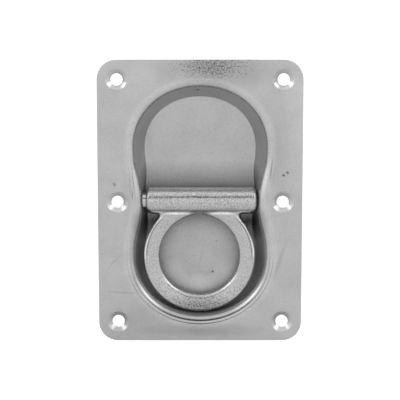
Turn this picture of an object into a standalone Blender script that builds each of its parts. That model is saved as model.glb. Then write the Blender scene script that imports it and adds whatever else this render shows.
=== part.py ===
"""Folding floor ring: a recessed lashing ring for a vehicle or trailer floor.

A zinc-plated steel sheet is pressed into a shallow pan with two round lobes and a narrow waist.
A pin crosses the waist, and a drop-forged ring with a barrel turns on it, from one lobe to the other.
Metres, +Z up. The origin is the centre of the pan's underside. X runs along the pin, Y along the plate,
and the ring lies in the lobe at -Y.
"""

import math
from collections import namedtuple

import bmesh
import bpy
from mathutils import Matrix, Vector

# Flange of the pressed plate, measured out from the pan's lip
SHEET = 0.0025
FLANGE_BESIDE_LOBES = 0.01529
FLANGE_BEYOND_LOBES = 0.00851
PLATE_CORNER = 0.0105

# Screw holes, countersunk for M6
HOLE_INSET = 0.0105
HOLE_RADIUS = 0.0033
COUNTERSINK_RADIUS = 0.0057
COUNTERSINK_LAND = 0.0004

# Pin and the gap that pieces keep to each other
PIN_RADIUS = 0.004
PIN_HEAD_FLARE = 0.0005
PIN_HEAD_LENGTH = 0.0018
GAP = 0.0003

# Ring forging, thicker at its far side
EYE_RADIUS = 0.0223
WIRE_RADIUS = 0.0040
FAR_SIDE_GROWTH = 0.0006
SHOULDER_GROWTH = 0.0006
SHOULDER_START = math.radians(62)
SHOULDER_FULL = math.radians(40)
EYE_BELOW_BARREL = 0.0004
EYE_SHIFT = -0.0004
BORE_CLEARANCE = 0.0004
BARREL_WALL = 0.0029
BARREL_SHORTFALL = 0.0014
BARREL_END_ROUND = 0.0018
BARREL_SHIFT = 0.0009

# Pan around the ring
BARREL_BELOW_TOP = 0.0004
BARREL_ABOVE_FLOOR = 0.0005
BARREL_END_PLAY = 0.0024
LOBE_SIDE_CLEARANCE = 0.0039
UPPER_LOBE_SHORTFALL = 0.0019
LIP_UNDERSIDE_RADIUS = 0.0020
CORNER_RADIUS = 0.0015
LOBE_DRAFT = math.radians(15)
WAIST_DRAFT = math.radians(5)

# Fineness of the round shapes
LOBE_STEPS = 20
WAIST_STEPS = 8
FLANGE_SIDE_STEPS = 13
FLANGE_CORNER_STEPS = 9
LIP_STEPS = 5
CORNER_STEPS = 3
HOLE_SIDES = 24
PIN_SIDES = 32
BARREL_SIDES = 40
BARREL_END_STEPS = 4
RING_STEPS = 72
WIRE_SIDES = 18
OVERCUT = 0.001

# What follows from these
LIP_RADIUS = SHEET + LIP_UNDERSIDE_RADIUS
BORE_RADIUS = PIN_RADIUS + BORE_CLEARANCE
BARREL_RADIUS = BORE_RADIUS + BARREL_WALL
FAR_RADIUS = WIRE_RADIUS + FAR_SIDE_GROWTH
RING_RADIUS = EYE_RADIUS + 2 * WIRE_RADIUS
BARREL_LENGTH = 2 * RING_RADIUS - BARREL_SHORTFALL
EYE_DISTANCE = EYE_RADIUS + BARREL_RADIUS + EYE_BELOW_BARREL
PAN_DEPTH = BARREL_BELOW_TOP + 2 * BARREL_RADIUS + BARREL_ABOVE_FLOOR
PLATE_TOP = SHEET + PAN_DEPTH
PIN_HEIGHT = PLATE_TOP - BARREL_BELOW_TOP - BARREL_RADIUS
ABOUT_X = Matrix.Rotation(math.radians(90), 4, "Y")

PanPlan = namedtuple("PanPlan", "lobe_radius spacing middle waist_half_width waist_radius")


def clear_scene():
    for old in list(bpy.data.objects):
        bpy.data.objects.remove(old)


def material(name, colour, roughness):
    made = bpy.data.materials.new(name)
    made.use_nodes = True
    shader = made.node_tree.nodes["Principled BSDF"]
    shader.inputs["Base Color"].default_value = (*colour, 1)
    shader.inputs["Metallic"].default_value = 1
    shader.inputs["Roughness"].default_value = roughness
    return made


def add_object(name, mesh, finish=None):
    made = bpy.data.objects.new(name, mesh)
    bpy.context.scene.collection.objects.link(made)
    if finish:
        made.data.materials.append(finish)
    return made


def hide_tool(tool):
    """A cutter or a joined-in shape isn't a piece of the object."""
    tool.hide_render = True
    tool.display_type = "WIRE"


def boolean(target, tool, operation):
    step = target.modifiers.new(tool.name, "BOOLEAN")
    step.operation = operation
    step.object = tool
    hide_tool(tool)


def arc(first, last, steps):
    return [first + (last - first) * step / steps for step in range(steps + 1)]


def eased(share):
    """A share from 0 to 1, with a smooth start and end."""
    return share * share * (3 - 2 * share)


def mesh_from_loops(name, loops, cap_ends=True, smooth_below=math.radians(35)):
    """A closed mesh through loops of equal length, with its first and last loop filled, or joined up."""
    shape = bmesh.new()
    rows = [[shape.verts.new(point) for point in loop] for loop in loops]
    pairs = list(zip(rows, rows[1:]))
    if not cap_ends:
        pairs.append((rows[-1], rows[0]))
    for low, high in pairs:
        count = len(low)
        for here in range(count):
            after = (here + 1) % count
            shape.faces.new((low[here], low[after], high[after], high[here]))
    if cap_ends:
        shape.faces.new(rows[0])
        shape.faces.new(rows[-1])
    bmesh.ops.recalc_face_normals(shape, faces=shape.faces[:])
    mesh = bpy.data.meshes.new(name)
    shape.to_mesh(mesh)
    shape.free()
    mesh.shade_smooth()
    mesh.set_sharp_from_angle(angle=smooth_below)
    return mesh


def turned(name, profile, sides, turn=Matrix.Identity(4)):
    """A solid of revolution about Z from (radius, height) points, then turned, its ends capped."""
    loops = []
    for radius, height in profile:
        angles = [2 * math.pi * side / sides for side in range(sides)]
        ring = [Vector((radius * math.cos(a), radius * math.sin(a), height)) for a in angles]
        loops.append([turn @ point for point in ring])
    return mesh_from_loops(name, loops)


def pan_section(draft, below):
    """(inset from the lip's outline, height) down the wall, on the surface this far below the top one."""
    lip = LIP_RADIUS - below
    corner = CORNER_RADIUS + below
    rounds = LIP_RADIUS + CORNER_RADIUS
    wall_run = (PAN_DEPTH - rounds * (1 - math.sin(draft))) * math.tan(draft)
    floor_inset = rounds * math.cos(draft) + wall_run
    steepest = math.pi / 2 - draft
    points = []
    for slope in arc(0, steepest, LIP_STEPS):
        points.append((lip * math.sin(slope), PLATE_TOP - LIP_RADIUS + lip * math.cos(slope)))
    for slope in arc(steepest, 0, CORNER_STEPS):
        height = SHEET + CORNER_RADIUS - corner * math.cos(slope)
        points.append((floor_inset - corner * math.sin(slope), height))
    return points


def inset_at(section, height):
    """The wall's inset from the lip's outline at a height, read from its section."""
    for (outer, high), (inner, low) in zip(section, section[1:]):
        if low <= height <= high:
            return outer + (inner - outer) * (high - height) / (high - low)
    return 0


def pan_plan():
    """The lip seen from above: two equal lobes, and the hollow waist that joins them.

    The lobes clear the ring at its sides. The lower lobe's end wall meets the ring's far side, so that
    the ring rests level, and the waist leaves the barrel its end play.
    """
    lobe_inset = inset_at(pan_section(LOBE_DRAFT, 0), PIN_HEIGHT)
    lobe_radius = RING_RADIUS + LOBE_SIDE_CLEARANCE + lobe_inset
    far_wire = EYE_DISTANCE + EYE_RADIUS + FAR_RADIUS
    end_wall = far_wire + (FAR_RADIUS + GAP) / math.cos(LOBE_DRAFT)
    lower_centre = lobe_radius - lobe_inset - end_wall
    upper_centre = -lower_centre - UPPER_LOBE_SHORTFALL
    spacing = (upper_centre - lower_centre) / 2
    middle = (upper_centre + lower_centre) / 2
    waist = BARREL_LENGTH / 2 + BARREL_END_PLAY + inset_at(pan_section(WAIST_DRAFT, 0), PIN_HEIGHT)
    waist_radius = (spacing**2 + waist**2 - lobe_radius**2) / (2 * (lobe_radius - waist))
    return PanPlan(lobe_radius, spacing, middle, waist, waist_radius)


def half_plate():
    """Half the flange's width and half its length. The pin lies across its middle."""
    plan = pan_plan()
    lobe_end = plan.spacing - plan.middle + plan.lobe_radius
    return Vector((plan.lobe_radius + FLANGE_BESIDE_LOBES, lobe_end + FLANGE_BEYOND_LOBES))


def mirrored(quarter):
    """A closed outline from its first quarter, mirrored about both axes."""
    half = quarter + [Vector((-point.x, point.y)) for point in quarter[-2::-1]]
    return half + [Vector((point.x, -point.y)) for point in half[-2:0:-1]]


def pan_outline():
    """The lip's outline about its own middle, anticlockwise from the waist's right, and its outward normals.

    Each lobe is one arc, and one hollow arc on each side joins the two.
    """
    plan = pan_plan()
    to_lobe = math.asin(plan.spacing / (plan.lobe_radius + plan.waist_radius))
    points = []
    outward = []
    for angle in arc(math.pi, math.pi - to_lobe, WAIST_STEPS):
        away = Vector((math.cos(angle), math.sin(angle)))
        points.append(Vector((plan.waist_half_width + plan.waist_radius, 0)) + plan.waist_radius * away)
        outward.append(-away)
    for angle in arc(-to_lobe, math.pi / 2, LOBE_STEPS)[1:]:
        away = Vector((math.cos(angle), math.sin(angle)))
        points.append(Vector((0, plan.spacing)) + plan.lobe_radius * away)
        outward.append(away)
    return mirrored(points), mirrored(outward)


def flange_outline():
    """The flange's edge, a rectangle with round corners, in as many points as the lip's outline."""
    half = half_plate()
    straight = half - Vector((PLATE_CORNER, PLATE_CORNER))
    end_steps = WAIST_STEPS + LOBE_STEPS - FLANGE_SIDE_STEPS - FLANGE_CORNER_STEPS
    points = [Vector((half.x, along)) for along in arc(0, straight.y, FLANGE_SIDE_STEPS)]
    for angle in arc(0, math.pi / 2, FLANGE_CORNER_STEPS)[1:]:
        points.append(straight + PLATE_CORNER * Vector((math.cos(angle), math.sin(angle))))
    points += [Vector((across, half.y)) for across in arc(straight.x, 0, end_steps)[1:]]
    return mirrored(points)


def pan_loops(below):
    """The loops of one surface of the pan, from its lip to its floor. The waist's walls stand steeper."""
    plan = pan_plan()
    middle = Vector((0, plan.middle))
    columns = []
    for point, outward in zip(*pan_outline()):
        share = min(1, abs(point.y) / plan.spacing)
        draft = WAIST_DRAFT + (LOBE_DRAFT - WAIST_DRAFT) * eased(share)
        section = pan_section(draft, below)
        columns.append([(*(middle + point - outward * inset), height) for inset, height in section])
    return [list(loop) for loop in zip(*columns)]


def recess_plate(finish):
    """The pressed sheet, with six countersunk screw holes, and a hole for the pin in each waist wall."""
    top = pan_loops(0)
    under = pan_loops(SHEET)
    edge = [[(*point, height) for point in flange_outline()] for height in (PLATE_TOP, PAN_DEPTH)]
    loops = top[::-1] + edge + under
    plate = add_object("recess_plate", mesh_from_loops("recess_plate", loops), finish)

    depth = SHEET - COUNTERSINK_LAND
    widening = (COUNTERSINK_RADIUS - HOLE_RADIUS) / depth
    hole = [
        (HOLE_RADIUS, -SHEET - OVERCUT),
        (HOLE_RADIUS, -depth),
        (COUNTERSINK_RADIUS + OVERCUT * widening, OVERCUT),
    ]
    cutter_mesh = turned("screw_hole", hole, HOLE_SIDES)
    half = half_plate()
    for row, along in enumerate((-1, 0, 1)):
        for side in (-1, 1):
            cutter = add_object(f"screw_hole_{row}_{'left' if side < 0 else 'right'}", cutter_mesh)
            cutter.location = (side * (half.x - HOLE_INSET), along * (half.y - HOLE_INSET), PLATE_TOP)
            boolean(plate, cutter, "DIFFERENCE")

    radius = PIN_RADIUS + GAP
    bore = turned("pin_holes", [(radius, -half.x), (radius, half.x)], PIN_SIDES, ABOUT_X)
    pin_holes = add_object("pin_holes", bore)
    pin_holes.location = (0, 0, PIN_HEIGHT)
    boolean(plate, pin_holes, "DIFFERENCE")
    return plate


def pin_head_seat():
    """How far from the middle the pin's heads start, to clear the outer side of the waist's walls."""
    plan = pan_plan()
    section = pan_section(WAIST_DRAFT, SHEET)
    reach = []
    for turn in arc(0, 2 * math.pi, PIN_SIDES):
        along = (PIN_RADIUS + PIN_HEAD_FLARE) * math.sin(turn) - plan.middle
        height = PIN_HEIGHT + (PIN_RADIUS + PIN_HEAD_FLARE) * math.cos(turn)
        widening = plan.waist_radius - math.sqrt(plan.waist_radius**2 - along**2)
        reach.append(plan.waist_half_width + widening - inset_at(section, height))
    return max(reach) + GAP


def hinge_pin(finish):
    """The round pin across the waist, with both ends upset to a low head behind the wall."""
    seat = pin_head_seat()
    end = seat + PIN_HEAD_LENGTH
    half = [
        (PIN_RADIUS, seat),
        (PIN_RADIUS + PIN_HEAD_FLARE, seat),
        (PIN_RADIUS + PIN_HEAD_FLARE, end - PIN_HEAD_FLARE),
        (PIN_RADIUS, end),
    ]
    profile = [(radius, -height) for radius, height in half[::-1]] + half
    mesh = turned("hinge_pin", profile, PIN_SIDES, ABOUT_X)
    pin = add_object("hinge_pin", mesh, finish)
    pin.location = (0, 0, PIN_HEIGHT)
    return pin


def ring_loops():
    """Round sections of the ring. It grows outwards to its far side, and into two shoulders at the barrel."""
    centre = Vector((EYE_SHIFT, -EYE_DISTANCE, 0))
    loops = []
    for step in range(RING_STEPS):
        angle = 2 * math.pi * step / RING_STEPS
        from_barrel = abs(math.remainder(angle - math.pi / 2, 2 * math.pi))
        shoulder = (SHOULDER_START - from_barrel) / (SHOULDER_START - SHOULDER_FULL)
        far = max(0, -math.sin(angle))
        radius = WIRE_RADIUS + FAR_SIDE_GROWTH * far * far + SHOULDER_GROWTH * eased(max(0, min(1, shoulder)))
        away = Vector((math.cos(angle), math.sin(angle), 0))
        loop = []
        for side in range(WIRE_SIDES):
            turn = 2 * math.pi * side / WIRE_SIDES
            offset = away * (EYE_RADIUS + radius + radius * math.cos(turn))
            loop.append(centre + offset + Vector((0, 0, radius * math.sin(turn))))
        loops.append(loop)
    return loops


def lashing_ring(finish):
    """The forging: a ring with a barrel across it, bored for the pin. Its origin lies on the pin's axis."""
    barrel_profile = []
    half = BARREL_LENGTH / 2
    flat = BARREL_RADIUS - BARREL_END_ROUND
    for turn in arc(math.pi / 2, 0, BARREL_END_STEPS):
        radius = flat + BARREL_END_ROUND * math.cos(turn)
        barrel_profile.append((radius, half - BARREL_END_ROUND * (1 - math.sin(turn))))
    barrel_profile += [(radius, -height) for radius, height in barrel_profile[::-1]]
    barrel_profile = [(radius, height + BARREL_SHIFT) for radius, height in barrel_profile]
    mesh = turned("lashing_ring", barrel_profile, BARREL_SIDES, ABOUT_X)
    forging = add_object("lashing_ring", mesh, finish)

    ring = add_object("ring_loop", mesh_from_loops("ring_loop", ring_loops(), cap_ends=False))
    bore_profile = [(BORE_RADIUS, -BARREL_LENGTH), (BORE_RADIUS, BARREL_LENGTH)]
    bore = add_object("barrel_bore", turned("barrel_bore", bore_profile, PIN_SIDES, ABOUT_X))
    for piece in (forging, ring, bore):
        piece.location = (0, 0, PIN_HEIGHT)
    boolean(forging, ring, "UNION")
    boolean(forging, bore, "DIFFERENCE")
    return forging


def main():
    clear_scene()
    recess_plate(material("zinc_plated_sheet", (0.56, 0.56, 0.57), 0.38))
    hinge_pin(material("zinc_plated_bar", (0.60, 0.60, 0.61), 0.28))
    lashing_ring(material("zinc_plated_forging", (0.58, 0.58, 0.58), 0.42))


main()
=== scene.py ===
import math

import bmesh
import bpy
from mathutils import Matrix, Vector


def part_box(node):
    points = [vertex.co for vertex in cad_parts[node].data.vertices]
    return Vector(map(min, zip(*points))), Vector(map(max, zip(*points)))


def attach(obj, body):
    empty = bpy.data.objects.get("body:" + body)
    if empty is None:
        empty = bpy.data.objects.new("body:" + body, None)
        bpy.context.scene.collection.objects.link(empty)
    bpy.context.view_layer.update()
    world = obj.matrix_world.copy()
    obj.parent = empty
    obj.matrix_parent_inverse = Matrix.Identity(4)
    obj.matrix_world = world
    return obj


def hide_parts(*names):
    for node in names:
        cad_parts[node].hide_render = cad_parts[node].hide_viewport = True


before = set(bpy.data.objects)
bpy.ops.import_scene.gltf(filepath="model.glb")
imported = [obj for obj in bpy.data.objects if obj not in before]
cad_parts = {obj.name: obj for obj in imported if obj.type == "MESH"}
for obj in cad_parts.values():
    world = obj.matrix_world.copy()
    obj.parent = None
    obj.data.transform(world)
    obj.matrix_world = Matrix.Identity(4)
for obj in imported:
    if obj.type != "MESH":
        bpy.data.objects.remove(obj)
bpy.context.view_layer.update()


# The recess plate is one blank of cold-rolled steel, 2.5 mm thick, drawn in a press into a pan with two round
# lobes and a narrow waist. Six holes are pierced and countersunk in its flange and one in each wall of the
# waist, where the pin goes in. The finished pressing is zinc plated, and M6 screws hold it to the floor.

MM = 0.001
plate_low, plate_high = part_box("recess_plate")
plate_top = plate_high.z
sheet = 2.5 * MM
plate_corner = 10.5 * MM
hole_inset = 10.5 * MM
hole_radius = 3.3 * MM
countersink_radius = 5.7 * MM
countersink_depth = 2.1 * MM
countersink_rim_inside = 0.12 * MM
countersink_rim_outside = 0.16 * MM
pin_hole_radius = 4.3 * MM
sheared_round = 0.35 * MM
sheared_turn = math.radians(80)

upper_lobe = 25.9 * MM
upper_radius = 39.0 * MM
upper_lip = 4.0 * MM
lower_lobe = 27.6 * MM
lower_radius = 40.1 * MM
lower_lip = 5.6 * MM
waist_height = Vector((0, 0.35 * MM))
waist_half_width = 35.6 * MM
lobe_bulge = 1.4 * MM
corner_radius = 1.0 * MM
lobe_draft = math.radians(21)
lower_end_draft = math.radians(9)
waist_draft = math.radians(2)
waist_ease = 19 * MM

LIP_POINTS = 384
LIP_ROWS = 14
WALL_ROWS = 6
CORNER_ROWS = 7
FLOOR_RINGS = (0.5 * MM, 1.5 * MM)
FLANGE_RINGS = (0.03, 0.10, 0.22, 0.40, 0.62, 0.82, 1.0)
TINY = 1e-6
LEAST_UPWARD = 0.02


def deselect_all():
    """Nothing stays selected, so that the next operator acts only on what it should."""
    if bpy.context.object and bpy.context.object.mode != "OBJECT":
        bpy.ops.object.mode_set(mode="OBJECT")
    bpy.ops.object.select_all(action="DESELECT")


def take_up(piece):
    """Makes a piece the one selected and active object."""
    deselect_all()
    piece.select_set(True)
    bpy.context.view_layer.objects.active = piece


def new_piece(name):
    """Names the primitive that was just added."""
    piece = bpy.context.object
    piece.name = name
    piece.data.name = name
    return piece


def place_in_mesh(piece):
    """Puts a piece's place into its mesh, so that the object itself sits at the origin."""
    take_up(piece)
    bpy.ops.object.transform_apply(location=True, rotation=True, scale=True)


def apply_boolean(piece, tool, operation):
    """Cuts or joins with a tool, then throws the tool away."""
    take_up(piece)
    step = piece.modifiers.new(tool.name, "BOOLEAN")
    step.operation = operation
    step.object = tool
    step.solver = "EXACT"
    bpy.ops.object.modifier_apply(modifier=step.name)
    bpy.data.objects.remove(tool)


def smooth_below(piece, degrees):
    """Shades a piece smooth, except over edges that turn by more than this."""
    take_up(piece)
    bpy.ops.object.shade_smooth_by_angle(angle=math.radians(degrees))


def eased(share):
    """A share, kept from 0 to 1, with a smooth start and end."""
    share = min(1, max(0, share))
    return share * share * (3 - 2 * share)


def lip_point(share):
    """The lip's line at this share of a turn from the waist's right: place, way out, draft, lip radius."""
    quarter, along = divmod(share * 4, 1)
    if quarter % 2:
        along = 1 - along
    side = Vector((-1 if quarter in (1, 2) else 1, -1 if quarter in (2, 3) else 1))
    lobe, lobe_radius = (upper_lobe, upper_radius) if side.y > 0 else (lower_lobe, lower_radius)
    waist_radius = (lobe**2 + waist_half_width**2 - lobe_radius**2) / (2 * (lobe_radius - waist_half_width))
    to_lobe = math.asin(lobe / (lobe_radius + waist_radius))
    waist_run = to_lobe * waist_radius
    lobe_run = (math.pi / 2 + to_lobe) * lobe_radius
    run = along * (waist_run + lobe_run)
    if run < waist_run:
        turn = math.pi - run / waist_radius
        away = Vector((math.cos(turn), math.sin(turn)))
        place = Vector((waist_half_width + waist_radius, 0)) + waist_radius * away
        outward = -away
    else:
        turn = (run - waist_run) / lobe_radius - to_lobe
        outward = Vector((math.cos(turn), math.sin(turn)))
        bulge = lobe_bulge * max(0, math.sin(2 * turn)) * math.cos(turn)
        place = Vector((0, lobe)) + (lobe_radius + bulge) * outward
    draft = waist_draft + (lobe_draft - waist_draft) * eased(abs(place.y) / waist_ease)
    if side.y < 0:
        draft += (lower_end_draft - lobe_draft) * eased((place.y - lobe) / lobe_radius)
    lip_radius = upper_lip + (lower_lip - upper_lip) * eased(0.5 - place.y * side.y / (2 * waist_ease))
    return place * side + waist_height, outward * side, draft, lip_radius


def wall_rows(draft, lip_radius):
    """(inset, height) from the lip's line down the wall to the floor, for the sheet's upper surface."""
    rounds = lip_radius + corner_radius
    depth = plate_top - sheet - plate_low.z
    wall_run = (depth - rounds * (1 - math.sin(draft))) * math.tan(draft)
    floor_inset = rounds * math.cos(draft) + wall_run
    steepest = math.pi / 2 - draft
    rows = []
    for row in range(LIP_ROWS + 1):
        slope = steepest * row / LIP_ROWS
        rows.append((lip_radius * math.sin(slope), plate_top - lip_radius * (1 - math.cos(slope))))
    corner = []
    for row in range(CORNER_ROWS + 1):
        slope = steepest * (1 - row / CORNER_ROWS)
        height = plate_low.z + sheet + corner_radius * (1 - math.cos(slope))
        corner.append((floor_inset - corner_radius * math.sin(slope), height))
    (inset, height), (last_inset, last_height) = rows[-1], corner[0]
    for row in range(1, WALL_ROWS):
        share = row / WALL_ROWS
        rows.append((inset + (last_inset - inset) * share, height + (last_height - height) * share))
    rows += corner
    return rows + [(floor_inset + ring, corner[-1][1]) for ring in FLOOR_RINGS]


def flange_point(place):
    """Where a line from the plate's middle through this place meets the flange's round-cornered edge."""
    half = Vector((plate_high.x, plate_high.y))
    ray = place.normalized()
    reach = min(half[axis] / abs(ray[axis]) for axis in (0, 1) if abs(ray[axis]) > TINY)
    met = ray * reach
    centre = Vector(math.copysign(half[axis] - plate_corner, ray[axis]) for axis in (0, 1))
    if abs(met.x) > abs(centre.x) and abs(met.y) > abs(centre.y):
        along = ray.dot(centre)
        met = ray * (along + math.sqrt(along**2 - centre.length_squared + plate_corner**2))
    return met


lip = [lip_point(step / LIP_POINTS) for step in range(LIP_POINTS)]
sections = [wall_rows(draft, lip_radius) for place, outward, draft, lip_radius in lip]

deselect_all()
bpy.ops.mesh.primitive_circle_add(vertices=LIP_POINTS, radius=upper_radius, location=(0, 0, 0))
plate = new_piece("plate_pressing")
bpy.ops.object.mode_set(mode="EDIT")
work = bmesh.from_edit_mesh(plate.data)
station = work.verts.layers.int.new("station")
by_angle = sorted(work.verts, key=lambda vert: math.atan2(vert.co.y, vert.co.x) % math.tau)
for step, vert in enumerate(by_angle):
    vert[station] = step
    vert.co = (*lip[step][0], plate_top)

row_count = len(sections[0])
for row in range(1, row_count):
    bpy.ops.mesh.extrude_region_move()
    work = bmesh.from_edit_mesh(plate.data)
    station = work.verts.layers.int["station"]
    for vert in work.verts:
        if vert.select:
            place, outward = lip[vert[station]][:2]
            inset, height = sections[vert[station]][row]
            vert.co = (*(place - outward * inset), height)
bpy.ops.mesh.edge_face_add()

bpy.ops.mesh.select_all(action="DESELECT")
work = bmesh.from_edit_mesh(plate.data)
work.edges.ensure_lookup_table()
for edge in work.edges:
    if edge.is_boundary:
        edge.select_set(True)
for share in FLANGE_RINGS:
    bpy.ops.mesh.extrude_region_move()
    work = bmesh.from_edit_mesh(plate.data)
    station = work.verts.layers.int["station"]
    for vert in work.verts:
        if vert.select:
            place = lip[vert[station]][0]
            vert.co = (*place.lerp(flange_point(place), share), plate_top)
bpy.ops.mesh.select_all(action="SELECT")
bpy.ops.mesh.normals_make_consistent(inside=False)
work = bmesh.from_edit_mesh(plate.data)
if sum(face.normal.z * face.calc_area() for face in work.faces) < 0:
    bpy.ops.mesh.flip_normals()

# Each point of the sheet keeps how far it lies from the lip's line, in millimetres down the wall or out on
# the flange, and how far round the pan it is. The burnish, the lip's painted highlight and its dark lines
# follow these two.
work = bmesh.from_edit_mesh(plate.data)
station = work.verts.layers.int["station"]
press_map = work.loops.layers.uv.new("press_map")
for face in work.faces:
    stations = {vert[station] for vert in face.verts}
    wraps = stations == {0, LIP_POINTS - 1}
    for loop in face.loops:
        here = loop.vert[station]
        place, outward = lip[here][:2]
        off_line = (Vector(loop.vert.co.xy) - place).dot(outward)
        drop = plate_top - loop.vert.co.z
        run = off_line if off_line > 0 else -math.hypot(off_line, drop)
        around = LIP_POINTS if wraps and here == 0 else here
        loop[press_map].uv = (around / LIP_POINTS, run / MM)
bmesh.update_edit_mesh(plate.data)
bpy.ops.object.mode_set(mode="OBJECT")

take_up(plate)
gauge = plate.modifiers.new("sheet gauge", "SOLIDIFY")
gauge.thickness = sheet
gauge.offset = -1
gauge.use_even_offset = True
bpy.ops.object.modifier_apply(modifier=gauge.name)

# The press shears the blank, which leaves its outer edges a little round.
bpy.ops.object.mode_set(mode="EDIT")
bpy.ops.mesh.select_all(action="DESELECT")
work = bmesh.from_edit_mesh(plate.data)
for edge in work.edges:
    faces = edge.link_faces
    if len(faces) == 2 and faces[0].normal.angle(faces[1].normal) > sheared_turn:
        edge.select_set(True)
bpy.ops.mesh.bevel(offset=sheared_round, segments=3, affect="EDGES")
bpy.ops.object.mode_set(mode="OBJECT")

for along in (-1, 0, 1):
    for side in (-1, 1):
        deselect_all()
        drill_foot = plate_top - 2 * sheet
        bpy.ops.mesh.primitive_circle_add(vertices=72, radius=hole_radius, location=(0, 0, drill_foot))
        drill = new_piece("screw_hole")
        bpy.ops.object.mode_set(mode="EDIT")
        bpy.ops.mesh.edge_face_add()
        for radius, depth in (
            (hole_radius, countersink_depth),
            (countersink_radius - countersink_rim_inside, countersink_rim_outside),
            (countersink_radius + countersink_rim_outside, 0),
            (countersink_radius + countersink_rim_outside, -sheet),
        ):
            bpy.ops.mesh.extrude_region_move()
            work = bmesh.from_edit_mesh(drill.data)
            for vert in work.verts:
                if vert.select:
                    flat = Vector(vert.co.xy).normalized() * radius
                    vert.co = (*flat, 2 * sheet - depth)
        bpy.ops.mesh.select_all(action="SELECT")
        bpy.ops.mesh.normals_make_consistent(inside=False)
        bpy.ops.object.mode_set(mode="OBJECT")
        drill.location.x = side * (plate_high.x - hole_inset)
        drill.location.y = along * (plate_high.y - hole_inset)
        place_in_mesh(drill)
        apply_boolean(plate, drill, "DIFFERENCE")

pin_low, pin_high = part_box("hinge_pin")
pin_height = (pin_low.z + pin_high.z) / 2
deselect_all()
bpy.ops.mesh.primitive_cylinder_add(
    vertices=72,
    radius=pin_hole_radius,
    depth=2 * plate_high.x,
    location=(0, 0, pin_height),
    rotation=(0, math.radians(90), 0),
)
drill = new_piece("pin_holes")
place_in_mesh(drill)
apply_boolean(plate, drill, "DIFFERENCE")
smooth_below(plate, 32)

# Use marks only the side that shows, so each point of the sheet also keeps whether it faces up.
facing_up = plate.data.attributes.new("upper_side", "FLOAT", "POINT")
for vert in plate.data.vertices:
    facing_up.data[vert.index].value = float(vert.normal.z > LEAST_UPWARD)


def linear(code):
    """A colour given as an sRGB hex code, in the linear light that Blender works in."""
    shares = [int(code[start : start + 2], 16) / 255 for start in (1, 3, 5)]
    return (*(((s + 0.055) / 1.055) ** 2.4 if s > 0.04045 else s / 12.92 for s in shares), 1)


def add_node(owner, kind, links=(), constants=None, **settings):
    """Adds a node to a material or the world.

    A link is (its own input, another node, that node's output). A constant is an input's number and value. A
    setting is a property or a named input.
    """
    node = owner.node_tree.nodes.new(kind)
    for name, value in settings.items():
        if hasattr(node, name):
            setattr(node, name, value)
        else:
            node.inputs[name.replace("_", " ")].default_value = value
    for own_input, value in (constants or {}).items():
        node.inputs[own_input].default_value = value
    for own_input, source, output in links:
        owner.node_tree.links.new(source.outputs[output], node.inputs[own_input])
    return node


def new_material(name):
    """A new material and the shader that it starts with."""
    made = bpy.data.materials.new(name)
    made.use_nodes = True
    return made, made.node_tree.nodes["Principled BSDF"]


def set_stops(ramp_node, stops, first=0, last=1):
    """Fills a ramp with stops, each (place, grey or hex code), where the places run from first to last."""
    places = [(at - first) / (last - first) for at, light in stops]
    elements = ramp_node.color_ramp.elements
    for at in places[1:-1]:
        elements.new(at)
    for element, at, (_, light) in zip(elements, places, stops):
        element.position = at
        element.color = linear(light) if isinstance(light, str) else (light, light, light, 1)


def soft_patch(material, place, middle, half_size, turn=0):
    """A patch that is 1 in its middle and fades to 0 at its edge. Sizes are millimetres, its turn degrees."""
    spread = add_node(
        material,
        "ShaderNodeMapping",
        [("Vector", place, "Object")],
        vector_type="TEXTURE",
        Location=[along * MM for along in middle],
        Rotation=(0, 0, math.radians(turn)),
        Scale=[along * MM for along in half_size],
    )
    links = [("Vector", spread, "Vector")]
    return add_node(material, "ShaderNodeTexGradient", links, gradient_type="SPHERICAL")


# Bright zinc plating on pressed sheet: a soft silver sheen with a fine grain, in clouds about 17 mm wide
# where the bath was uneven. The press has burnished the lip, so it shines there, and a painted highlight
# lightens it; fine dark lines run along its bottom lobe. The scale of each noise is written as its cells in a
# millimetre.
zinc_sheet, shader = new_material("bright_zinc_on_pressed_steel")
shader.inputs["Metallic"].default_value = 1
place = add_node(zinc_sheet, "ShaderNodeTexCoord")
clouds = add_node(
    zinc_sheet, "ShaderNodeTexNoise", [("Vector", place, "Object")], Scale=0.06 / MM, Detail=4, Roughness=0.6
)
tint = add_node(zinc_sheet, "ShaderNodeValToRGB", [("Fac", clouds, "Fac")])
set_stops(tint, ((0.35, "#b6b6b6"), (0.65, "#bebebf")))

# Painted shade under the ring: the pan is dullest under the middle of the ring's bar, and the shade fades
# both ways. The stops are in millimetres from the eye's middle.
from_eye = soft_patch(zinc_sheet, place, (-0.4, -32.5, 0), (40, 40, 1000))
painted_shade_under_ring = add_node(zinc_sheet, "ShaderNodeValToRGB", [("Fac", from_eye, "Fac")])
ring_shade = (
    (40, 0), (35, 0), (31, 0.1), (29, 0.35), (26, 0.45),
    (22, 0.38), (18, 0.22), (13, 0.12), (0, 0.1),
)
set_stops(painted_shade_under_ring, ring_shade, 40, 0)
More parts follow.
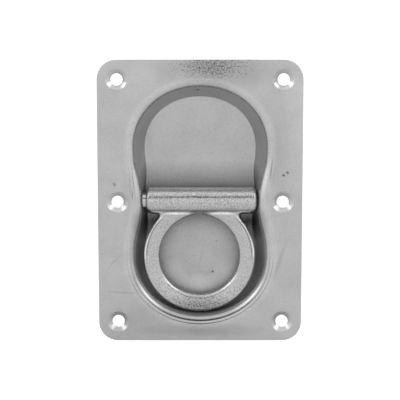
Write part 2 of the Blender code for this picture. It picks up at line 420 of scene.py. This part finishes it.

# The marks, each a soft patch: its middle, half-size and turn in the plan, and how much of the light it
# takes.
# Where that is less than 0, the patch is lighter instead. Those along the barrel, in the eye's top, in the
# pan and in the pockets and gaps beside the ring are painted shade, and the dint and the crease are painted
# as their shade. The lip's bright streaks and the eye's lighter bottom are painted light. The specks,
# scratches, scuffs, dots, nick, smudge and draw lines are the plate's own marks.
marks = (
    ("painted shade along the barrel", (0, 6.5, 2.5), (220, 15, 13), 0, 0.6),
    ("painted shade in the eye's top", (0, -9.0, 0), (24, 9, 40), 0, 0.12),
    ("painted shade in the left pocket", (-27, -12, 0), (12, 12, 40), 0, 0.85),
    ("painted shade in the left gap", (-33.5, -25, 0), (5.5, 32, 40), 0, 0.4),
    ("painted shade in the right pocket", (27, -12, 0), (12, 12, 40), 0, 0.95),
    ("painted shade in the right gap", (32, -27, 0), (5, 34, 40), 0, 0.2),
    ("painted shade in the pan", (0, 30, 2.5), (220, 24, 13), 0, 0.08),
    ("dull bottom edge", (-4, -76, 18), (75, 28, 20), 0, 0.12),
    ("dull band under the lip", (0, -70.5, 18), (38, 5, 20), 0, 0.24),
    ("dull bottom left", (-37, -66, 18), (30, 26, 20), 0, 0.13),
    ("dull beside the top", (25, 68, 18), (9, 9, 20), 0, 0.1),
    ("painted highlight on the lip right of the waist", (35.4, 13, 18), (1.3, 15, 20), -12, -0.32),
    ("painted highlight on the lip left of the waist", (-35.6, 13, 18), (1.3, 13, 20), 12, -0.12),
    ("painted highlight on the lip at the bottom left", (-24.6, -56.7, 0), (12, 1.5, 40), -37, -0.22),
    ("painted highlight on the lip at the bottom right", (24.5, -54, 0), (12, 1.8, 40), 40, -0.15),
    ("bright top left", (-37, 67, 18), (17, 17, 20), 0, -0.11),
    ("bright top right", (56, 52, 18), (17, 40, 20), 0, -0.12),
    ("dull top", (9, 69, 18), (34, 13, 20), 0, 0.2),
    ("dull left of the waist", (-38, 2, 18), (7, 26, 20), 0, 0.06),
    ("dull right of the top", (41, 30, 18), (8, 40, 20), 0, 0.12),
    ("painted shade of a dint in the top wall", (-1.2, 60.2, 10), (1.6, 0.7, 4.5), 0, 1.1),
    ("speck right of the waist", (46.8, 15.9, 0), (1.3, 1.0, 40), 0, 1.3),
    ("speck right of the waist, lower", (44.8, 14.5, 0), (1.2, 1.1, 40), 0, 1.3),
    ("mark left of the waist", (-46.0, 9.6, 0), (1.2, 1.6, 40), 30, 0.9),
    ("scratch low left", (-43.0, -49.3, 0), (11, 0.5, 40), -4, 0.4),
    ("scratch left", (-46.5, -32.4, 0), (7.2, 0.45, 40), 46, 0.45),
    ("draw line left of the waist", (-36.0, 12.4, 18), (0.5, 13, 20), 6, 0.45),
    ("draw line left of the waist, outer", (-37.6, 10.0, 18), (0.45, 9, 20), 4, 0.3),
    ("nick left of the waist", (-36.4, 3.9, 18), (0.45, 4, 20), 3, 0.55),
    ("smudge right of the waist", (36.2, 2.6, 18), (1.3, 5, 20), 0, 0.14),
    ("draw line right of the waist", (38.1, 16.9, 18), (0.5, 8, 20), -6, 0.5),
    ("draw line right of the waist, outer", (39.6, 15.0, 18), (0.4, 6, 20), -8, 0.25),
    ("painted light in the eye's bottom", (0, -50, 0), (22, 9, 40), 0, -0.5),
    ("painted light in the eye's bottom left", (-15, -42, 0), (9, 9, 40), 0, -0.25),
    ("painted light in the eye's bottom right", (15, -42, 0), (9, 9, 40), 0, -0.2),
    ("scuff in the eye", (0.6, -32, 0), (0.8, 10, 40), -13, 0.12),
    ("scuff in the eye, left", (-6, -36, 0), (0.6, 7, 40), 60, 0.1),
    ("scuff in the eye, low", (4, -42, 0), (0.6, 6, 40), -50, 0.1),
    ("dot in the eye", (7.0, -40.6, 0), (0.9, 0.9, 40), 0, 0.9),
    ("small dot in the eye", (9.2, -23.4, 0), (0.7, 0.7, 40), 0, 0.5),
    ("painted shade of a crease, right", (43.0, -32.0, 0), (1.5, 15, 40), -18, 0.3),
)
painted_shading_and_marks = painted_shade_under_ring
for name, middle, half_size, turn, depth in marks:
    spot = soft_patch(zinc_sheet, place, middle, half_size, turn)
    spot.label = name
    links = [(0, spot, "Fac"), (2, painted_shading_and_marks, 0)]
    painted_shading_and_marks = add_node(zinc_sheet, "ShaderNodeMath", links, {1: depth}, operation="MULTIPLY_ADD")

# Down the wall and out on the flange, the wear follows the distance from the lip's line, 8 mm either way.
press_place = add_node(zinc_sheet, "ShaderNodeUVMap", uv_map="press_map")
from_lip = add_node(zinc_sheet, "ShaderNodeSeparateXYZ", [("Vector", press_place, "UV")])
along_wall = add_node(zinc_sheet, "ShaderNodeMapRange", [("Value", from_lip, "Y")], From_Min=-8, From_Max=8)
burnish = add_node(zinc_sheet, "ShaderNodeValToRGB", [("Fac", along_wall, "Result")])
set_stops(burnish, ((-8, 0.46), (-6, 0.42), (-4.4, 0.24), (0, 0.2), (2, 0.5), (8, 0.5)), -8, 8)
zinc_sheet.node_tree.links.new(burnish.outputs["Color"], shader.inputs["Roughness"])

# The lip is painted a little lighter than the flange, a painted highlight over its burnish.
painted_lip_highlight = add_node(zinc_sheet, "ShaderNodeValToRGB", [("Fac", along_wall, "Result")])
set_stops(painted_lip_highlight, ((-8, 0), (-3.2, 0), (-1.4, 0.05), (1.2, 0.03), (3, 0), (8, 0)), -8, 8)
painted_shading_and_marks = add_node(zinc_sheet, "ShaderNodeMath", [(0, painted_shading_and_marks, 0), (1, painted_lip_highlight, "Color")], operation="SUBTRACT")

# Two fine dark lines run round the bottom lobe's lip, and fade on its diagonals.
dark_lip_lines = add_node(zinc_sheet, "ShaderNodeValToRGB", [("Fac", along_wall, "Result")])
line_stops = (
    (-8, 0), (-3.3, 0), (-2.95, 0.6), (-2.25, 0.95), (-1.9, 0),
    (-1.15, 0), (-0.85, 0.75), (-0.55, 0.75), (-0.3, 0), (8, 0),
)
set_stops(dark_lip_lines, line_stops, -8, 8)
round_bottom = add_node(zinc_sheet, "ShaderNodeValToRGB", [("Fac", from_lip, "X")])
bottom_stops = (
    (0.56, 0), (0.62, 0.3), (0.68, 0.42), (0.73, 0.85),
    (0.77, 0.85), (0.82, 0.5), (0.88, 0.38), (0.93, 0),
)
set_stops(round_bottom, bottom_stops)
painted_shading_and_marks = add_node(
    zinc_sheet,
    "ShaderNodeMath",
    [(0, dark_lip_lines, "Color"), (1, round_bottom, "Color"), (2, painted_shading_and_marks, 0)],
    operation="MULTIPLY_ADD",
)

# Specks of dark residue, about 1 mm wide. They crowd in the dull patch at the top edge, with a few elsewhere.
specks = add_node(
    zinc_sheet, "ShaderNodeTexNoise", [("Vector", place, "Object")], Scale=1 / MM, Detail=4, Roughness=0.7
)
patch = soft_patch(zinc_sheet, place, (6, 73, 0), (34, 12, 40))
crowd = add_node(
    zinc_sheet, "ShaderNodeMath", [(0, patch, "Fac"), (2, specks, "Fac")], {1: 0.36}, operation="MULTIPLY_ADD"
)
speck_depth = add_node(
    zinc_sheet, "ShaderNodeMapRange", [("Value", crowd, 0)], From_Min=0.61, From_Max=0.85, To_Max=0.75
)
painted_shading_and_marks = add_node(zinc_sheet, "ShaderNodeMath", [(0, painted_shading_and_marks, 0), (1, speck_depth, "Result")], operation="ADD")
upper_side = add_node(zinc_sheet, "ShaderNodeAttribute", attribute_name="upper_side")
painted_shading_and_marks = add_node(zinc_sheet, "ShaderNodeMath", [(0, painted_shading_and_marks, 0), (1, upper_side, "Fac")], operation="MULTIPLY")
lit_and_clean = add_node(zinc_sheet, "ShaderNodeMath", [(1, painted_shading_and_marks, 0)], {0: 1}, operation="SUBTRACT")
lit_and_clean = add_node(zinc_sheet, "ShaderNodeMath", [(0, lit_and_clean, 0)], {1: 0.03}, operation="MAXIMUM")

# The real grain is finer than the picture can show, so it is drawn at about 0.7 mm.
grain = add_node(zinc_sheet, "ShaderNodeTexNoise", [("Vector", place, "Object")], Scale=1.4 / MM, Detail=2)
fine = add_node(
    zinc_sheet,
    "ShaderNodeMapRange",
    [("Value", grain, "Fac")],
    From_Min=0.3,
    From_Max=0.7,
    To_Min=0.93,
    To_Max=1.05,
)
shade = add_node(zinc_sheet, "ShaderNodeMath", [(0, lit_and_clean, 0), (1, fine, "Result")], operation="MULTIPLY")
coloured = add_node(
    zinc_sheet, "ShaderNodeVectorMath", [(0, tint, "Color"), ("Scale", shade, 0)], operation="SCALE"
)
zinc_sheet.node_tree.links.new(coloured.outputs["Vector"], shader.inputs["Base Color"])
bump = add_node(zinc_sheet, "ShaderNodeBump", [("Height", grain, "Fac")], Strength=0.3, Distance=0.02 * MM)
zinc_sheet.node_tree.links.new(bump.outputs["Normal"], shader.inputs["Normal"])

plate.data.materials.clear()
plate.data.materials.append(zinc_sheet)
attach(plate, "plate")
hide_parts("recess_plate")


# The hinge pin is a cut length of 8 mm steel bar, zinc plated. It goes through both walls of the waist and
# the ring's barrel, and its ends are upset into low domed heads outside the walls, which keep it in.

pin_radius = 4 * MM
pin_length = pin_high.x - pin_low.x
head_profile_mm = ((4.5, 0.02), (4.5, 1.0), (4.3, 1.35), (3.8, 1.6), (2.6, 1.75), (1.2, 1.8))
head_height = head_profile_mm[-1][1] * MM
END_FACING = 0.9

deselect_all()
bpy.ops.mesh.primitive_cylinder_add(
    vertices=64,
    radius=pin_radius,
    depth=pin_length - 2 * head_height,
    end_fill_type="NGON",
    location=(0, 0, pin_height),
    rotation=(0, math.radians(90), 0),
)
pin = new_piece("upset_pin")
place_in_mesh(pin)
for side in (-1, 1):
    bpy.ops.object.mode_set(mode="EDIT")
    bpy.ops.mesh.select_all(action="DESELECT")
    work = bmesh.from_edit_mesh(pin.data)
    for face in work.faces:
        if face.normal.x * side > END_FACING:
            face.select_set(True)
    for radius, rise in head_profile_mm:
        bpy.ops.mesh.extrude_region_move()
        work = bmesh.from_edit_mesh(pin.data)
        for vert in work.verts:
            if vert.select:
                flat = Vector((vert.co.y, vert.co.z - pin_height)).normalized() * (radius * MM)
                along = pin_length / 2 - head_height + rise * MM
                vert.co = (side * along, flat.x, flat.y + pin_height)
    bpy.ops.object.mode_set(mode="OBJECT")
smooth_below(pin, 40)

# Bright zinc on drawn bar is smoother than on the sheet, so it catches narrow, brighter lines. Its draw marks
# are too fine for the picture, and are drawn about 1 mm wide. Painted shade darkens it in the gaps beside the
# barrel, and only a short length at the left is left unshaded.
zinc_bar, shader = new_material("bright_zinc_on_drawn_bar")
shader.inputs["Metallic"].default_value = 1
place = add_node(zinc_bar, "ShaderNodeTexCoord")
stretch = add_node(zinc_bar, "ShaderNodeMapping", [("Vector", place, "Object")], Scale=(0.15, 1, 1))
drawn = add_node(zinc_bar, "ShaderNodeTexNoise", [("Vector", stretch, "Vector")], Scale=0.9 / MM, Detail=3)
tint = add_node(zinc_bar, "ShaderNodeValToRGB", [("Fac", drawn, "Fac")])
set_stops(tint, ((0.3, "#b0b0b1"), (0.7, "#cdcdce")))
pin_place = add_node(zinc_bar, "ShaderNodeSeparateXYZ", [("Vector", place, "Object")])
left_gap = add_node(
    zinc_bar, "ShaderNodeMapRange", [("Value", pin_place, "X")], From_Min=-33 * MM, From_Max=-28 * MM
)
left_unshaded = add_node(zinc_bar, "ShaderNodeValToRGB", [("Fac", left_gap, "Result")])
left_unshaded_stops = (
    (-33, 1), (-32.6, 1), (-32.2, 0.08), (-31.4, 0.1),
    (-31.1, 0.9), (-29.7, 0.9), (-29.3, 0.3), (-28, 0.06),
)
set_stops(left_unshaded, left_unshaded_stops, -33, -28)
right_unshaded = add_node(
    zinc_bar, "ShaderNodeMapRange", [("Value", pin_place, "X")], From_Min=33 * MM, From_Max=35 * MM
)
lit_and_clean = add_node(
    zinc_bar, "ShaderNodeMath", [(0, left_unshaded, "Color"), (1, right_unshaded, "Result")], operation="MAXIMUM"
)
coloured = add_node(
    zinc_bar, "ShaderNodeVectorMath", [(0, tint, "Color"), ("Scale", lit_and_clean, 0)], operation="SCALE"
)
zinc_bar.node_tree.links.new(coloured.outputs["Vector"], shader.inputs["Base Color"])
shader.inputs["Roughness"].default_value = 0.17
bump = add_node(zinc_bar, "ShaderNodeBump", [("Height", drawn, "Fac")], Strength=0.15, Distance=0.1 * MM)
zinc_bar.node_tree.links.new(bump.outputs["Normal"], shader.inputs["Normal"])

pin.data.materials.clear()
pin.data.materials.append(zinc_bar)
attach(pin, "plate")
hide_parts("hinge_pin")


# The lashing ring is one drop forging in steel: a round eye, a little thicker at its far side and its
# shoulders, on a barrel that is drilled through for the pin. It is tumbled and zinc plated, and keeps the
# forging's grain.

eye_radius = 22.0 * MM
eye_distance = 30.0 * MM
eye_shift = -0.4 * MM
wire_radius = 4.2 * MM
far_side_growth = 0.65 * MM
far_side_inset = 0.3 * MM
shoulder_growth = 0.5 * MM
shoulder_start = math.radians(62)
shoulder_full = math.radians(40)
crown = 0.6
barrel_crown = 0.8
barrel_crown_from = -15 * MM
barrel_crown_run = 7 * MM
side_square = 8
away_square = 3
edge_crowding = 0.3
edge_steepness = 8
flat_share = 0.88
chamfer_share = 0.43
full_chamfer_facing = 0.7
barrel_radius = 7.3 * MM
barrel_length = 59.6 * MM
barrel_shift = 0.7 * MM
barrel_end_round = 1.8 * MM
barrel_end_turn = math.radians(60)
root_line = (-7.6 * MM, pin_height + 4.6 * MM)
root_half_length = 27 * MM
shoulder_corner = (24.5 * MM, -8.5 * MM)
barrel_corner = (29.5 * MM, -7 * MM)
bore_radius = 4.4 * MM
eye_centre = Vector((eye_shift, -eye_distance, pin_height))

SKIN_GRID = 0.38 * MM
DROP_STEPS = 100


def chamfered(across, chamfer):
    """The section's height above its middle, this share across it: nearly flat, then a chamfer this wide."""
    flat = flat_share - chamfer_share * chamfer
    leans = ((0, 0), (flat, 12), (flat + 0.02, 22), (flat + 0.02 + 0.15 * chamfer, 27), (0.96, 46), (1, 80))
    drop = 0
    for step in range(int(across * DROP_STEPS)):
        at = (step + 0.5) / DROP_STEPS
        for (low, low_lean), (high, high_lean) in zip(leans, leans[1:]):
            if low <= at < high:
                lean = low_lean + (high_lean - low_lean) * (at - low) / (high - low)
        drop += math.tan(math.radians(lean)) / DROP_STEPS
    return crown - drop


def off_root(at):
    """How far a point lies from the line along which the eye's upper side runs into the barrel."""
    return math.dist(at.yz, root_line) if abs(at.x) < root_half_length else math.inf


def off_shoulder(at):
    """How far a point lies, in the plan, from the corner between a shoulder and the barrel."""
    return math.dist((abs(at.x), at.y), shoulder_corner)


def off_barrel_end(at):
    """How far a point lies, in the plan, from the barrel's nearer lower corner."""
    return math.dist((abs(at.x - barrel_shift), at.y), barrel_corner)


deselect_all()
bpy.ops.mesh.primitive_torus_add(
    major_segments=180,
    minor_segments=56,
    major_radius=eye_radius + wire_radius,
    minor_radius=wire_radius,
    location=(0, 0, 0),
)
ring = new_piece("ring_forging")
bpy.ops.object.mode_set(mode="EDIT")
work = bmesh.from_edit_mesh(ring.data)
for vert in work.verts:
    around = math.atan2(vert.co.y, vert.co.x)
    from_middle = vert.co.xy.length - eye_radius - wire_radius
    section = math.atan2(vert.co.z, from_middle)
    off_top = abs(around - math.pi / 2)
    shoulder = eased((shoulder_start - off_top) / (shoulder_start - shoulder_full))
    radius = wire_radius + far_side_growth * max(0, -math.sin(around)) ** 2 + shoulder_growth * shoulder
    across = math.cos(section)
    rise = math.sin(section)
    facing = math.sin(around) * math.copysign(1, across)
    if rise > 0 and facing > 0:
        across = math.copysign(abs(across) ** edge_crowding, across) if abs(across) > TINY else 0
        rise = chamfered(abs(across), eased(facing / full_chamfer_facing)) * min(1, rise * edge_steepness)
    elif rise > 0:
        square = side_square + (away_square - side_square) * facing**2
        across = math.copysign(abs(across) ** (2 / square), across)
        rise = crown * rise ** (2 / square)
    inner = eye_radius - far_side_inset * max(0, -math.sin(around)) ** 2
    reach = inner + radius + radius * across
    if rise > 0:
        along = eye_centre.y + reach * math.sin(around)
        near_barrel = eased((along - barrel_crown_from) / barrel_crown_run)
        rise *= 1 + (barrel_crown / crown - 1) * near_barrel
    vert.co = eye_centre + Vector((reach * math.cos(around), reach * math.sin(around), radius * rise))
bmesh.update_edit_mesh(ring.data)
bpy.ops.object.mode_set(mode="OBJECT")

deselect_all()
bpy.ops.mesh.primitive_cylinder_add(
    vertices=96,
    radius=barrel_radius,
    depth=barrel_length,
    end_fill_type="NGON",
    location=(barrel_shift, 0, pin_height),
    rotation=(0, math.radians(90), 0),
)
barrel = new_piece("barrel")
place_in_mesh(barrel)
bpy.ops.object.mode_set(mode="EDIT")
bpy.ops.mesh.select_all(action="DESELECT")
work = bmesh.from_edit_mesh(barrel.data)
for edge in work.edges:
    if edge.link_faces[0].normal.angle(edge.link_faces[1].normal) > barrel_end_turn:
        edge.select_set(True)
bpy.ops.mesh.bevel(offset=barrel_end_round, segments=10, profile=0.5, affect="EDGES")
bpy.ops.object.mode_set(mode="OBJECT")
apply_boolean(ring, barrel, "UNION")

# The forging's skin is one even surface. The dies leave soft fillets at the root of the eye, at the corners
# of its shoulders and round the lower ends of the barrel.
take_up(ring)
skin = ring.modifiers.new("forged skin", "REMESH")
skin.mode = "VOXEL"
skin.voxel_size = SKIN_GRID
bpy.ops.object.modifier_apply(modifier=skin.name)
tumbling = ring.modifiers.new("even skin", "SMOOTH")
tumbling.factor = 0.5
tumbling.iterations = 3
bpy.ops.object.modifier_apply(modifier=tumbling.name)
fillets = {
    "root of the eye": (off_root, 1.55, 3 * MM),
    "corner of the shoulder": (off_shoulder, 1.7, 2.6 * MM),
    "lower end of the barrel": (off_barrel_end, 1.6, 2.2 * MM),
}
for name, (off_line, reach, fade) in fillets.items():
    group = ring.vertex_groups.new(name=name)
    for vert in ring.data.vertices:
        group.add([vert.index], eased(reach - off_line(vert.co) / fade), "REPLACE")
for name in fillets:
    fillet = ring.modifiers.new("soft fillet", "SMOOTH")
    fillet.factor = 0.5
    fillet.iterations = 90
    fillet.vertex_group = name
    bpy.ops.object.modifier_apply(modifier=fillet.name)

deselect_all()
bpy.ops.mesh.primitive_cylinder_add(
    vertices=72,
    radius=bore_radius,
    depth=2 * barrel_length,
    location=(0, 0, pin_height),
    rotation=(0, math.radians(90), 0),
)
drill = new_piece("ring_bore")
place_in_mesh(drill)
apply_boolean(ring, drill, "DIFFERENCE")
smooth_below(ring, 35)

# Zinc over a tumbled forging: a satin skin with a coarse grain, about 0.7 mm, that breaks up its reflections,
# and with 7 mm waves from the hammering, which make its highlights wander. The far side, which knocks on the
# pan, is more pitted. Painted highlights brighten the barrel along its back and front, and the shoulders
# along their edge.
zinc_forging, shader = new_material("bright_zinc_on_tumbled_forging")
shader.inputs["Metallic"].default_value = 1
place = add_node(zinc_forging, "ShaderNodeTexCoord")
grain = add_node(zinc_forging, "ShaderNodeTexNoise", [("Vector", place, "Object")], Scale=1.5 / MM, Detail=2)

# The eye's sides and the barrel's front, which hands and hooks have rubbed, are more even than the rest.
handled = soft_patch(zinc_forging, place, (0, -24, 14), (200, 27, 200))
even = add_node(zinc_forging, "ShaderNodeMapRange", [("Value", handled, "Fac")], From_Max=0.4, To_Max=0.5)
tint_grain = add_node(zinc_forging, "ShaderNodeMix", [("Factor", even, "Result"), ("A", grain, "Fac")], B=0.5)
tint = add_node(zinc_forging, "ShaderNodeValToRGB", [("Fac", tint_grain, "Result")])
set_stops(tint, ((0.28, "#909090"), (0.6, "#c3c3c3")))

# The far side is darker. Each of the other patches is painted light on the barrel: highlights and glints add
# to the light, and where a patch is negative it is a dark reflection of the tent's seam, which takes from it.
knocked = soft_patch(zinc_forging, place, (0, -58, 14), (32, 7, 30))
kept = add_node(zinc_forging, "ShaderNodeMapRange", [("Value", knocked, "Fac")], To_Min=1, To_Max=0.66)
painted_reflections = (
    ("painted highlight on the barrel's back", (0, 7.8, 12), (200, 3, 7), 1.2),
    ("painted dark seam reflection along the barrel's top", (0, 2.7, 17), (60, 0.55, 5), -0.2),
    ("painted glint on the barrel's back", (-8, 7.6, 10), (5, 0.8, 5), 3),
    ("second painted glint on the barrel's back", (1.5, 7.4, 10), (3, 0.6, 5), 4),
    ("painted light on the barrel's front", (0, -6.1, 13.5), (200, 1.4, 6), 1.5),
)
for name, middle, half_size, light in painted_reflections:
    reflection_patch = soft_patch(zinc_forging, place, middle, half_size)
    reflection_patch.label = name
    links = [(0, reflection_patch, "Fac"), (2, kept, 0)]
    kept = add_node(zinc_forging, "ShaderNodeMath", links, {1: light}, operation="MULTIPLY_ADD")

# Pits about 0.8 mm wide crowd on the far side and hold dark residue. The same pits crowd along the barrel's
# top, where they break up a painted dark line that stands for the reflection of the tent's seam.
line = soft_patch(zinc_forging, place, (0, 2.7, 17), (70, 1.5, 5))
links = [(0, line, "Fac"), (1, knocked, "Fac")]
pits_on_seam_line_and_far_side = add_node(zinc_forging, "ShaderNodeMath", links, operation="MAXIMUM")
pits = add_node(zinc_forging, "ShaderNodeTexNoise", [("Vector", place, "Object")], Scale=1.3 / MM, Detail=3)
links = [("Value", pits, "Fac")]
pit_depth = add_node(zinc_forging, "ShaderNodeMapRange", links, From_Min=0.5, From_Max=0.64)
links = [(0, pit_depth, "Result"), (1, pits_on_seam_line_and_far_side, 0)]
pit_depth = add_node(zinc_forging, "ShaderNodeMath", links, operation="MULTIPLY", use_clamp=True)
links = [(0, pit_depth, 0), (2, kept, 0)]
kept = add_node(zinc_forging, "ShaderNodeMath", links, {1: -0.75}, operation="MULTIPLY_ADD")

# Round the shoulders' outer edge runs a painted highlight, with a fine painted dark reflection of the tent's
# seam inside it. In these stops, a half stands for neither.
from_eye = soft_patch(zinc_forging, place, eye_centre / MM, (36, 36, 1000))
shoulder_highlight = add_node(zinc_forging, "ShaderNodeValToRGB", [("Fac", from_eye, "Fac")])
set_stops(shoulder_highlight, ((0.14, 0.65), (0.185, 0.65), (0.198, 0.36), (0.206, 0.36), (0.216, 0.5)))
shoulders = soft_patch(zinc_forging, place, (0, -20, 0), (200, 13, 200))
shoulders = add_node(zinc_forging, "ShaderNodeMapRange", [("Value", shoulders, "Fac")], From_Max=0.35)
shoulder_highlight = add_node(zinc_forging, "ShaderNodeMath", [(0, shoulder_highlight, "Color")], {1: 0.5}, operation="SUBTRACT")
shoulder_highlight = add_node(
    zinc_forging, "ShaderNodeMath", [(0, shoulder_highlight, 0), (1, shoulders, "Result")], operation="MULTIPLY"
)
kept = add_node(
    zinc_forging, "ShaderNodeMath", [(0, shoulder_highlight, 0), (2, kept, 0)], {1: 4}, operation="MULTIPLY_ADD"
)
coloured = add_node(
    zinc_forging, "ShaderNodeVectorMath", [(0, tint, "Color"), ("Scale", kept, 0)], operation="SCALE"
)
zinc_forging.node_tree.links.new(coloured.outputs["Vector"], shader.inputs["Base Color"])
shader.inputs["Roughness"].default_value = 0.2
waves = add_node(zinc_forging, "ShaderNodeTexNoise", [("Vector", place, "Object")], Scale=0.14 / MM, Detail=1)
wavy = add_node(zinc_forging, "ShaderNodeBump", [("Height", waves, "Fac")], Strength=1, Distance=0.25 * MM)
bump = add_node(
    zinc_forging,
    "ShaderNodeBump",
    [("Height", grain, "Fac"), ("Normal", wavy, "Normal")],
    Strength=1,
    Distance=0.08 * MM,
)
zinc_forging.node_tree.links.new(bump.outputs["Normal"], shader.inputs["Normal"])

ring.data.materials.clear()
ring.data.materials.append(zinc_forging)
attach(ring, "ring")
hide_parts("lashing_ring")


# The floor is a plain white sweep that the part lies on. It gives some light of its own, so that it stays
# white in the picture and lights the walls of the holes.

deselect_all()
bpy.ops.mesh.primitive_plane_add(size=6, location=(0, 0, 0))
floor = new_piece("studio_floor")
white_sweep, shader = new_material("matt_white_sweep")
shader.inputs["Base Color"].default_value = linear("#f4f4f4")
shader.inputs["Roughness"].default_value = 0.9
shader.inputs["Specular IOR Level"].default_value = 0.1
shader.inputs["Emission Color"].default_value = (1, 1, 1, 1)
shader.inputs["Emission Strength"].default_value = 0.5
floor.data.materials.append(white_sweep)


# Soft studio light: a white light tent, whose ceiling has one dark seam across it, towards the plate's top
# edge. It darkens towards the bottom edge, where the photographer stood.

room = bpy.data.worlds.new("light_tent")
bpy.context.scene.world = room
room.use_nodes = True
way = add_node(room, "ShaderNodeTexCoord")
parts = add_node(room, "ShaderNodeSeparateXYZ", [(0, way, "Generated")])
lean = add_node(room, "ShaderNodeMath", [(0, parts, "Y"), (1, parts, "Z")], operation="ARCTAN2")
lean_share = add_node(
    room, "ShaderNodeMapRange", [("Value", lean, 0)], From_Min=-math.pi / 2, From_Max=math.pi / 2
)
tent = add_node(room, "ShaderNodeValToRGB", [("Fac", lean_share, "Result")])
tent_stops = (
    (-90, 0.5), (-76, 0.74), (-62, 0.84), (-46, 0.9), (-30, 0.94), (-14, 0.96), (4, 1.08),
    (31.6, 1.12), (33.4, 0.03), (41.2, 0.03), (43, 1.15), (84, 1.15), (90, 0.7),
)
set_stops(tent, tent_stops, -90, 90)
links = [("Value", parts, "Z")]
skirt = add_node(room, "ShaderNodeMapRange", links, From_Min=0.02, From_Max=0.14, To_Min=0.15)
dimmed = add_node(
    room, "ShaderNodeVectorMath", [(0, tent, "Color"), ("Scale", skirt, "Result")], operation="SCALE"
)

# Two softboxes stand low beyond the top corners. They light the countersinks and the ring's inner edge.
softbox_way = Vector((0.78, 0.52, 0.34)).normalized()
either_side = add_node(room, "ShaderNodeVectorMath", [(0, way, "Generated")], operation="ABSOLUTE")
towards = add_node(
    room, "ShaderNodeVectorMath", [(0, either_side, "Vector")], {1: softbox_way}, operation="DOT_PRODUCT"
)
softbox = add_node(
    room,
    "ShaderNodeMapRange",
    [("Value", towards, "Value")],
    From_Min=math.cos(math.radians(23)),
    From_Max=math.cos(math.radians(8)),
    To_Max=1.2,
)
ahead = add_node(room, "ShaderNodeMapRange", [("Value", parts, "Y")], From_Max=0.1)
beyond_top = add_node(
    room, "ShaderNodeMath", [(0, softbox, "Result"), (1, ahead, "Result")], operation="MULTIPLY"
)
whole = add_node(room, "ShaderNodeVectorMath", [(0, dimmed, "Vector"), (1, beyond_top, 0)], operation="ADD")
room.node_tree.links.new(whole.outputs["Vector"], room.node_tree.nodes["Background"].inputs["Color"])


# The camera hangs 560 mm from the plate's middle, 6.6 degrees off the upright towards its top edge. This and
# its lens were fitted to the plate's outline in the photograph, which is 400 pixels wide.

distance = 560 * MM
tilt = math.radians(6.6)
photo_width = 400
focal_pixels = 1042
bpy.ops.object.camera_add(
    location=(0, distance * math.sin(tilt), plate_top + distance * math.cos(tilt)),
    rotation=(-tilt, 0, 0),
)
camera = bpy.context.object
camera.name = "product_camera"
camera.data.sensor_width = 36
camera.data.lens = focal_pixels / photo_width * camera.data.sensor_width
camera.data.shift_x = -0.0002
camera.data.shift_y = 0.0055
camera.data.clip_start = 0.01
bpy.context.scene.camera = camera
bpy.context.scene.view_settings.view_transform = "Standard"
